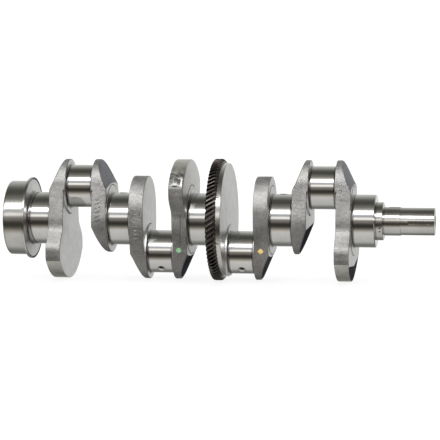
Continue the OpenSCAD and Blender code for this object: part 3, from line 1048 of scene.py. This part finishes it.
def wall_at(number, run, x, lift):
    """A point on a web's wall on the -Y side: run millimetres up the outline from the height of the axis."""
    ring, side = WEB_RING[number], THROW_SIDE[(number + 1) // 2]
    normals = inward(ring)
    count = len(ring)
    # The outline point on the -Y side at the height of the shaft's axis, and the way that runs up from it.
    start = min(range(count), key=lambda i: abs(ring[i][1]) + (0 if side * ring[i][0] < 0 else 1e3))
    way = -1 if side * (ring[(start + 1) % count][1] - ring[start][1]) < 0 else 1
    at = start + way * run / math.dist(ring[0], ring[1])
    t = at - math.floor(at)
    i = math.floor(at) % count
    j = (i + 1) % count
    v, w = (ring[i][c] * (1 - t) + ring[j][c] * t for c in (0, 1))
    nv, nw = (normals[i][c] * (1 - t) + normals[j][c] * t for c in (0, 1))
    return (x, side * (v - nv * lift), side * (w - nw * lift))


def bead(number, path, width, height, closed=False):
    """Points and faces of a rounded raised line along a path of (x, run) on a web's wall."""
    shape = [(-0.5, -0.6), (-0.42, 0.35), (-0.2, 0.9), (0.2, 0.9), (0.42, 0.35), (0.5, -0.6)]
    verts, faces = [], []
    count = len(path)
    for i, (x, run) in enumerate(path):
        one = path[i - 1] if i or closed else path[i]
        two = path[(i + 1) % count] if i + 1 < count or closed else path[i]
        dx, dr = two[0] - one[0], two[1] - one[1]
        size = math.hypot(dx, dr) or 1.0
        end = 0.55 if not closed and i in (0, count - 1) else 1.0
        for across, lift in shape:
            a = across * width * end
            rise = lift * height * (end if lift > 0 else 1)
            verts.append(wall_at(number, run + dx / size * a, x - dr / size * a, rise))
    n = len(shape)
    for i in range(count if closed else count - 1):
        a, b = i * n, ((i + 1) % count) * n
        for j in range(n):
            faces.append((a + j, a + (j + 1) % n, b + (j + 1) % n, b + j))
    if not closed:
        faces.append(tuple(range(n)))
        faces.append(tuple(range((count - 1) * n, count * n))[::-1])
    return verts, faces


def on_forging(name, verts, faces, material, sharp):
    """A small piece that belongs to the forging's surface."""
    obj = make_object(name, verts, faces, [material], None, sharp)
    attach(obj, "root")


def raised_marks(name, number, lines, material=FORGED):
    """Several beads on one web's wall as one piece."""
    verts, faces = [], []
    for path, width, height, closed in lines:
        v, f = bead(number, path, width, height, closed)
        faces += [tuple(c + len(verts) for c in face) for face in f]
        verts += v
    on_forging(name, verts, faces, material, 40)


def straight(x0, r0, x1, r1, steps=6):
    return [(x0 + (x1 - x0) * i / steps, r0 + (r1 - r0) * i / steps) for i in range(steps + 1)]


def rounded_frame(x0, x1, r0, r1, corner=3.0):
    """A closed rounded rectangle of (x, run)."""
    out = []
    for cx, cr, start in ((x1 - corner, r1 - corner, 0), (x0 + corner, r1 - corner, 90),
                          (x0 + corner, r0 + corner, 180), (x1 - corner, r0 + corner, 270)):
        for i in range(5):
            a = math.radians(start + 22.5 * i)
            out.append((cx + corner * math.cos(a), cr + corner * math.sin(a)))
    return out


def paint_dab(name, number, x, run, r, points, material):
    """A thin rounded dab of paint on a web's wall, with the given number of corners."""
    rows, around = ((0.55, 0.5), (0.88, 0.38), (1.0, 0.1), (1.0, -0.5)), 36
    verts, faces = [wall_at(number, run, x, 0.55)], []
    for grow, lift in rows:
        for i in range(around):
            a = 2 * math.pi * i / around
            wobble = 1 + 0.1 * math.cos(points * a)
            wobble += 0.05 * noise.noise(Vector((math.cos(a), math.sin(a), x)))
            reach = r * grow * wobble
            verts.append(wall_at(number, run + reach * math.sin(a), x + reach * math.cos(a), lift))
    for i in range(around):
        k = (i + 1) % around
        faces.append((0, 1 + i, 1 + k))
        for one in (1, 1 + around, 1 + 2 * around):
            faces.append((one + i, one + around + i, one + around + k, one + k))
    faces.append(tuple(range(1 + 3 * around, 1 + 4 * around)))
    on_forging(name, verts, faces, material, 50)


def web_marks():
    """Marks that the forging carries: plain bars, some in a frame, a rib, a ring, a stamp and paint."""
    near = {k: span(f"web_{k}")[0][0] for k in (2, 3, 4, 6, 7, 8)}
    x = near[2]
    bars = [(straight(x + 8.0, run, x + 17.0, run + 3.5), 2.0, 1.2, False) for run in range(1, 37, 7)]
    raised_marks("forged_bars", 2, bars)
    x = near[3]
    ladder = [(rounded_frame(x + 4.6, x + 19.0, -27.5, 21.0, 4.5), 1.4, 0.7, True)]
    ladder += [(straight(x + 8.6, -20 + 6.5 * i, x + 15.0, -20 + 6.5 * i), 1.6, 0.6, False) for i in range(6)]
    raised_marks("framed_bars", 3, ladder)
    x = near[4]
    rib = [(x + 22.5, 17.5), (x + 19.5, 16.6), (x + 17.2, 14.0), (x + 16.4, 10.0), (x + 16.2, 0.0),
           (x + 15.8, -12.0), (x + 15.5, -24.0), (x + 15.5, -34.0)]
    raised_marks("forged_rib", 4, [(rib, 2.6, 1.0, False)])
    x = near[7] + 12.2
    ring = [(x + 3.6 * math.cos(i * math.pi / 10), 4 + 3.6 * math.sin(i * math.pi / 10)) for i in range(20)]
    raised_marks("forged_ring", 7, [(ring, 1.1, 0.5, True)])
    x = near[8] + 8.9
    turns = [math.radians(a) for a in range(150, -100, -20)]
    hook = [(x + 2.2 * math.cos(a), 53 + 2.2 * math.sin(a)) for a in turns]
    # The stamped hook and the punched dot are near-black painted shade.
    raised_marks("stamped_hook", 8, [(hook, 0.9, 0.12, False)], PAINTED_SHADE)
    paint_dab("stamped_dot", 3, near[3] + 21.1, 47, 1.0, 2, PAINTED_SHADE)
    paint_dab("green_dab", 4, near[4] + 12.2, -46, 3.9, 0, GREEN)
    paint_dab("yellow_dab", 6, near[6] + 13.3, -46, 4.1, 4, YELLOW)


web_marks()
OVERHEAD_LIT = [f"forged_web_{k}" for k in FORGED_WEBS]
OVERHEAD_LIT += ["forged_bars", "framed_bars", "forged_rib", "forged_ring", "stamped_hook"]


# ---------------------------------------------------------------- floor, light and camera

def plain_floor():
    """A wide pale floor that the lowest rims stand on. Polished steel mirrors the studio, not the floor."""
    low, wide = cad_box[0][2], 60
    mesh = bpy.data.meshes.new("floor")
    corners = [(-wide, -wide, low), (wide, -wide, low), (wide, wide, low), (-wide, wide, low)]
    mesh.from_pydata(corners, [], [(0, 1, 2, 3)])
    mat, _, shader, _ = new_material("pale_floor", 0.0)
    shader.inputs["Base Color"].default_value = linear("#808080")
    shader.inputs["Emission Color"].default_value = (1, 1, 1, 1)
    shader.inputs["Emission Strength"].default_value = 0.86
    shader.inputs["Roughness"].default_value = 0.9
    shader.inputs["Specular IOR Level"].default_value = 0.0
    mesh.materials.append(mat)
    obj = bpy.data.objects.new("floor", mesh)
    bpy.context.scene.collection.objects.link(obj)
    obj.visible_glossy = False


# Colour of the studio around the shaft, by the angle above the horizon on the open side: a strip light
# at 45 degrees, a fainter one at 17, a dark gap at the table's edge, and the pale table below.
STUDIO = [
    (-180, "#c6c6c4"), (-160, "#a8a8a6"), (-144, "#767674"), (-132, "#5c5c5a"), (-112, "#787876"),
    (-96, "#a4a4a2"), (-47, "#b8b6b4"), (-40, "#a8a49e"), (-31, "#767068"), (-23, "#403e38"),
    (-15, "#2c2a26"), (-7, "#403c38"), (0, "#6a6662"), (9, "#7e7872"), (13.5, "#e8e6e2"),
    (20, "#e8e6e2"), (24.5, "#949496"), (33, "#b4b6ba"), (36.5, "#ffffff"), (40, "#ffffff"),
    (47.5, "#ffffff"), (53, "#b4b2ae"), (65, "#72706a"), (85, "#42423e"), (100, "#42423e"),
    (114, "#5e5e5a"), (122, "#787874"), (138, "#989896"), (162, "#b4b4b2"), (180, "#c6c6c4"),
]
STRIP_LIGHT = {36.5: 1.3, 40: 3.5, 47.5: 3.5}      # how much brighter than white the main strip glows


def studio_light():
    """Plain studio: long soft strips of light along the shaft, which only polished steel mirrors, in a
    plain white room that lights everything else."""
    world = bpy.data.worlds.new("studio")
    bpy.context.scene.world = world
    world.use_nodes = True
    tree = world.node_tree
    tree.nodes.clear()
    direction = put(tree, "ShaderNodeTexCoord").outputs["Generated"]
    way = put(tree, "ShaderNodeSeparateXYZ", {"Vector": direction}).outputs
    back = put(tree, "ShaderNodeMath", {0: way["Y"], 1: -1.0}, operation="MULTIPLY").outputs[0]
    turn = put(tree, "ShaderNodeMath", {0: way["Z"], 1: back}, operation="ARCTAN2").outputs[0]
    ramp = put(tree, "ShaderNodeValToRGB", {"Fac": spread(tree, turn, 0.0, 1.0, -math.pi, math.pi)})
    # A ramp's colours stay below 1, so they are divided by the strength, and by what the steel mirrors back.
    strength, steel = 5.0, 0.63
    stops = ramp.color_ramp.elements
    while len(stops) < len(STUDIO):
        stops.new(0.5)
    for stop, (angle, colour) in zip(stops, STUDIO):
        gain = STRIP_LIGHT.get(angle, 1.0) / steel / strength
        stop.position = (angle + 180) / 360
        stop.color = [c * gain for c in linear(colour)[:3]] + [1.0]
    # The ends of the studio, beyond the nose and the flange, are half as bright.
    along = put(tree, "ShaderNodeMath", {0: way["X"]}, operation="ABSOLUTE").outputs[0]
    dim = put(tree, "ShaderNodeVectorMath", {
        0: ramp.outputs["Color"], "Scale": spread(tree, along, 1.0, 0.5, 0.25, 0.8)}, operation="SCALE")
    glow = put(tree, "ShaderNodeBackground", {"Color": dim.outputs[0], "Strength": strength})
    plain = put(tree, "ShaderNodeBackground", {"Color": (1, 1, 1, 1), "Strength": 1.12})
    mirrored = put(tree, "ShaderNodeLightPath").outputs["Is Glossy Ray"]
    both = put(tree, "ShaderNodeMixShader", {0: mirrored, 1: plain.outputs[0], 2: glow.outputs[0]})
    put(tree, "ShaderNodeOutputWorld", {"Surface": both.outputs[0]})


def overhead_light():
    """A broad overhead light in front of the shaft, flagged so that only the blasted webs catch its glow."""
    data = bpy.data.lights.new("overhead", "SUN")
    data.energy, data.angle = 2.0, math.radians(50)
    obj = bpy.data.objects.new("overhead", data)
    towards = Vector((-0.25, -0.47, 0.85)).normalized()
    obj.matrix_world = towards.to_track_quat("Z", "Y").to_matrix().to_4x4()
    bpy.context.scene.collection.objects.link(obj)
    webs = bpy.data.collections.new("webs_under_overhead_light")
    for name in OVERHEAD_LIT:
        webs.objects.link(bpy.data.objects[name])
    obj.light_linking.receiver_collection = webs


def camera():
    """Long lens, a little above the shaft and a little towards its nose, and rolled slightly."""
    azimuth, height, roll, distance = math.radians(10.035), math.radians(6.93), math.radians(-0.62), 3.4106
    target = Vector(((MAIN_X[3] + 27.29) * MM, 0, -0.00081))
    level = Vector((math.sin(azimuth), -math.cos(azimuth), 0))
    back = level * math.cos(height) + Vector((0, 0, math.sin(height)))
    right = Vector((0, 0, 1)).cross(back).normalized()
    up = back.cross(right)
    turn = Matrix((right * math.cos(roll) + up * math.sin(roll),
                   up * math.cos(roll) - right * math.sin(roll), back)).transposed()
    data = bpy.data.cameras.new("camera")
    data.lens, data.sensor_width, data.clip_end = 171.2, 36.0, 200.0
    obj = bpy.data.objects.new("camera", data)
    obj.matrix_world = Matrix.Translation(target + back * distance) @ turn.to_4x4()
    bpy.context.scene.collection.objects.link(obj)
    bpy.context.scene.camera = obj


plain_floor()
studio_light()
overhead_light()
camera()
bpy.context.scene.view_settings.view_transform = "Standard"
